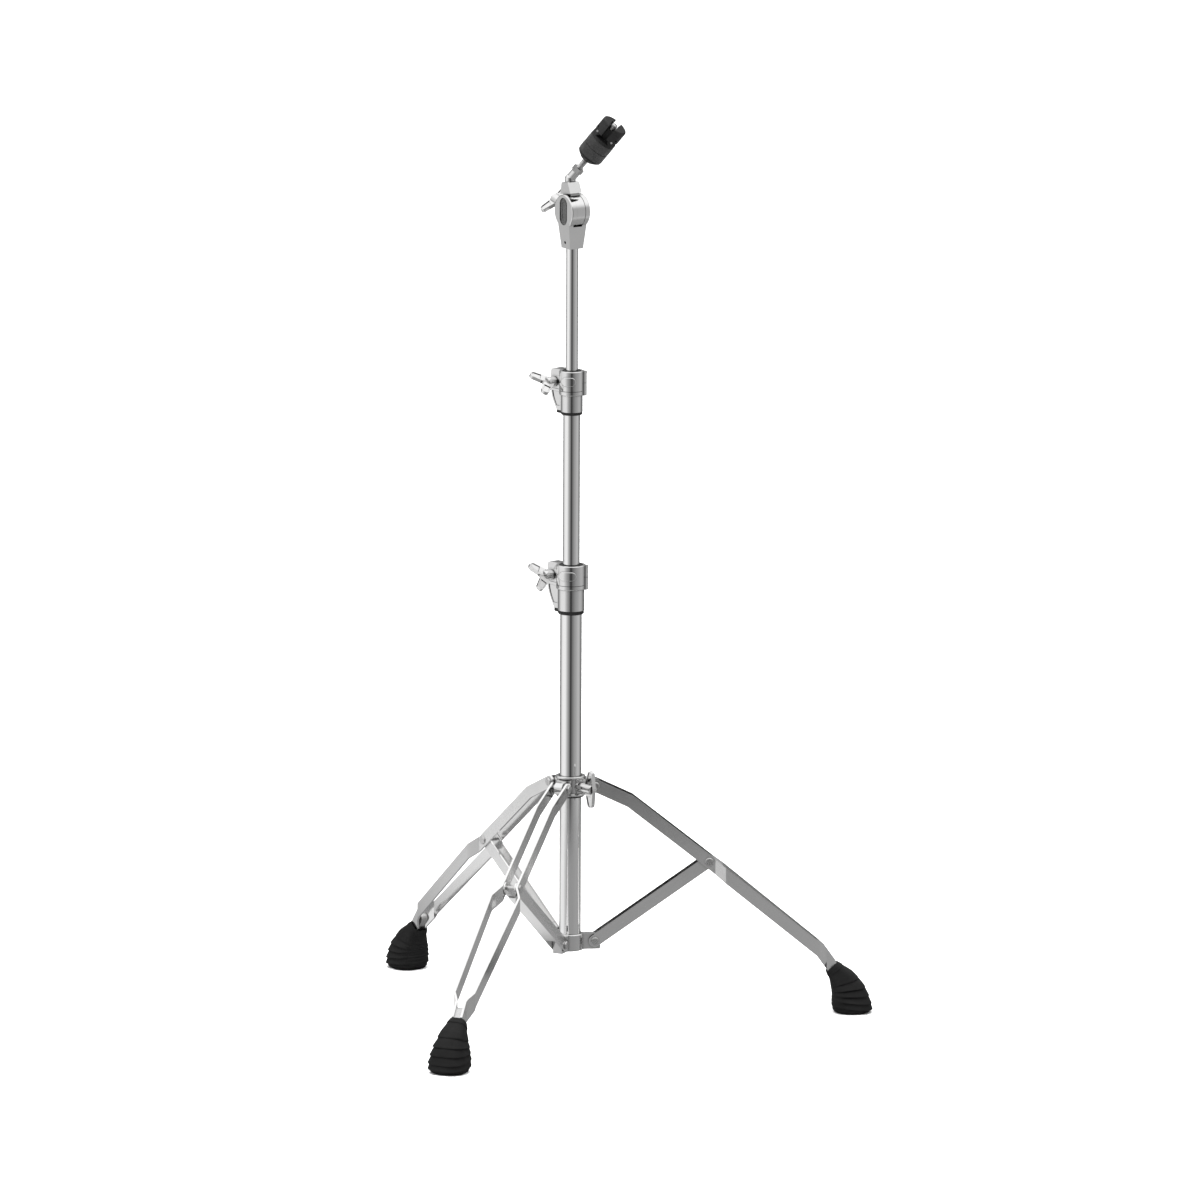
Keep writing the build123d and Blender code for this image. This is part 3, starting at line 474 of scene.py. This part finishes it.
# painted reflection: how pale the mirrored floor sheet is, by the same compass
PAINTED_REFLECTION_TONES = (
    (-180, 0.10), (-132, 0.12), (-110, 0.36), (-74, 0.34), (-50, 0.20), (-30, 0.12), (0, 0.105),
    (30, 0.108), (60, 0.12), (100, 0.13), (180, 0.10),
)


def compass_ramp(tree, vector, tones):
    """A grey that depends only on the compass direction of a vector, with the camera's side at zero."""
    nodes, links = tree.nodes, tree.links
    turn = nodes.new("ShaderNodeMapping")
    turn.inputs["Rotation"].default_value = (0, 0, radians(-CAMERA_AZIMUTH))
    links.new(vector, turn.inputs["Vector"])
    flat = nodes.new("ShaderNodeSeparateXYZ")
    links.new(turn.outputs[0], flat.inputs[0])
    compass = nodes.new("ShaderNodeMath")
    compass.operation = "ARCTAN2"
    links.new(flat.outputs["Y"], compass.inputs[0])
    links.new(flat.outputs["X"], compass.inputs[1])
    spread = nodes.new("ShaderNodeMapRange")
    spread.inputs["From Min"].default_value = -pi
    spread.inputs["From Max"].default_value = pi
    links.new(compass.outputs[0], spread.inputs["Value"])
    ramp = nodes.new("ShaderNodeValToRGB")
    links.new(spread.outputs[0], ramp.inputs["Fac"])
    stops = ramp.color_ramp.elements
    while len(stops) < len(tones):
        stops.new(0.5)
    for stop, (angle, value) in zip(stops, tones):
        stop.position = (angle + 180) / 360
        stop.color = grey(min(value, 1.0))
    return ramp.outputs["Color"]


def painted_reflection_floor_paper():
    m = Nodes("mirrored_floor")
    # painted reflection: a grey that only the chrome sees, darker than the pale floor and changing with compass
    # direction
    mottle = m.band(m.noise(m.place(), 3.0), 0.3, 0.7, 0, 0.12)
    tone = compass_ramp(m.tree, m.place(), PAINTED_REFLECTION_TONES)
    m.set(Base_Color=m.mix(mottle, tone, grey(0.16)), Roughness=0.9)
    away = m.node("ShaderNodeVectorMath", {0: m.place()}, operation="LENGTH").outputs["Value"]
    m.set(Alpha=m.band(away, 1.0, 1.55, 1.0, 0.0))
    return m.material


mirror_mesh.materials.append(painted_reflection_floor_paper())


def studio_light():
    world = bpy.data.worlds.new("studio")
    scene.world = world
    world.use_nodes = True
    tree = world.node_tree
    nodes, links = tree.nodes, tree.links
    background = nodes["Background"]
    coordinates = nodes.new("ShaderNodeTexCoord")
    split = nodes.new("ShaderNodeSeparateXYZ")
    links.new(coordinates.outputs["Generated"], split.inputs[0])
    walls = compass_ramp(tree, coordinates.outputs["Generated"], STUDIO)
    # a bright ceiling and a pale ground
    up = nodes.new("ShaderNodeMapRange")
    up.interpolation_type = "SMOOTHSTEP"
    up.inputs["From Min"].default_value = 0.25
    up.inputs["From Max"].default_value = 0.75
    links.new(split.outputs["Z"], up.inputs["Value"])
    down = nodes.new("ShaderNodeMapRange")
    down.interpolation_type = "SMOOTHSTEP"
    down.inputs["From Min"].default_value = -0.45
    down.inputs["From Max"].default_value = -0.8
    links.new(split.outputs["Z"], down.inputs["Value"])
    sky = nodes.new("ShaderNodeMix")
    sky.data_type = "RGBA"
    links.new(up.outputs[0], sky.inputs[0])
    links.new(walls, sky.inputs[6])
    sky.inputs[7].default_value = grey(1.25)
    ground = nodes.new("ShaderNodeMix")
    ground.data_type = "RGBA"
    links.new(down.outputs[0], ground.inputs[0])
    links.new(sky.outputs[2], ground.inputs[6])
    ground.inputs[7].default_value = grey(0.8)
    links.new(ground.outputs[2], background.inputs["Color"])
    background.inputs["Strength"].default_value = 1.0


studio_light()


def softbox(name, azimuth, elevation, distance, size, power):
    """A large soft lamp aimed at the middle of the stand. Metal doesn't mirror it."""
    data = bpy.data.lights.new(name, "AREA")
    data.shape = "SQUARE"
    data.size = size
    data.energy = power
    lamp = bpy.data.objects.new(name, data)
    scene.collection.objects.link(lamp)
    middle = Vector((0, 0, 0.55))
    direction = Vector((cos(radians(azimuth)) * cos(radians(elevation)),
                        sin(radians(azimuth)) * cos(radians(elevation)), sin(radians(elevation))))
    lamp.location = middle + direction * distance
    lamp.rotation_euler = direction.to_track_quat("Z", "Y").to_euler()
    lamp.visible_glossy = False


softbox("key", CAMERA_AZIMUTH - 55, 48, 3.2, 2.4, 60)
softbox("fill", CAMERA_AZIMUTH + 60, 35, 3.4, 2.4, 35)
softbox("top", CAMERA_AZIMUTH, 85, 9.0, 9.0, 1500)


def camera():
    azimuth, elevation = radians(CAMERA_AZIMUTH), radians(CAMERA_ELEVATION)
    back = Vector((cos(azimuth) * cos(elevation), sin(azimuth) * cos(elevation), sin(elevation)))
    right = Vector((-sin(azimuth), cos(azimuth), 0))
    up = back.cross(right)
    data = bpy.data.cameras.new("camera")
    data.sensor_width = 36.0
    data.lens = data.sensor_width * CAMERA_DISTANCE / VIEW_WIDTH
    data.clip_start = 0.5
    data.clip_end = 120.0
    view = bpy.data.objects.new("camera", data)
    scene.collection.objects.link(view)
    target = right * VIEW_CENTRE[0] + up * VIEW_CENTRE[1]
    rotation = Matrix((right, up, back)).transposed().to_4x4()
    view.matrix_world = (Matrix.Translation(target + back * CAMERA_DISTANCE) @ rotation
                         @ Matrix.Rotation(radians(ROLL), 4, "Z"))
    scene.camera = view


camera()
scene.view_settings.view_transform = "Standard"
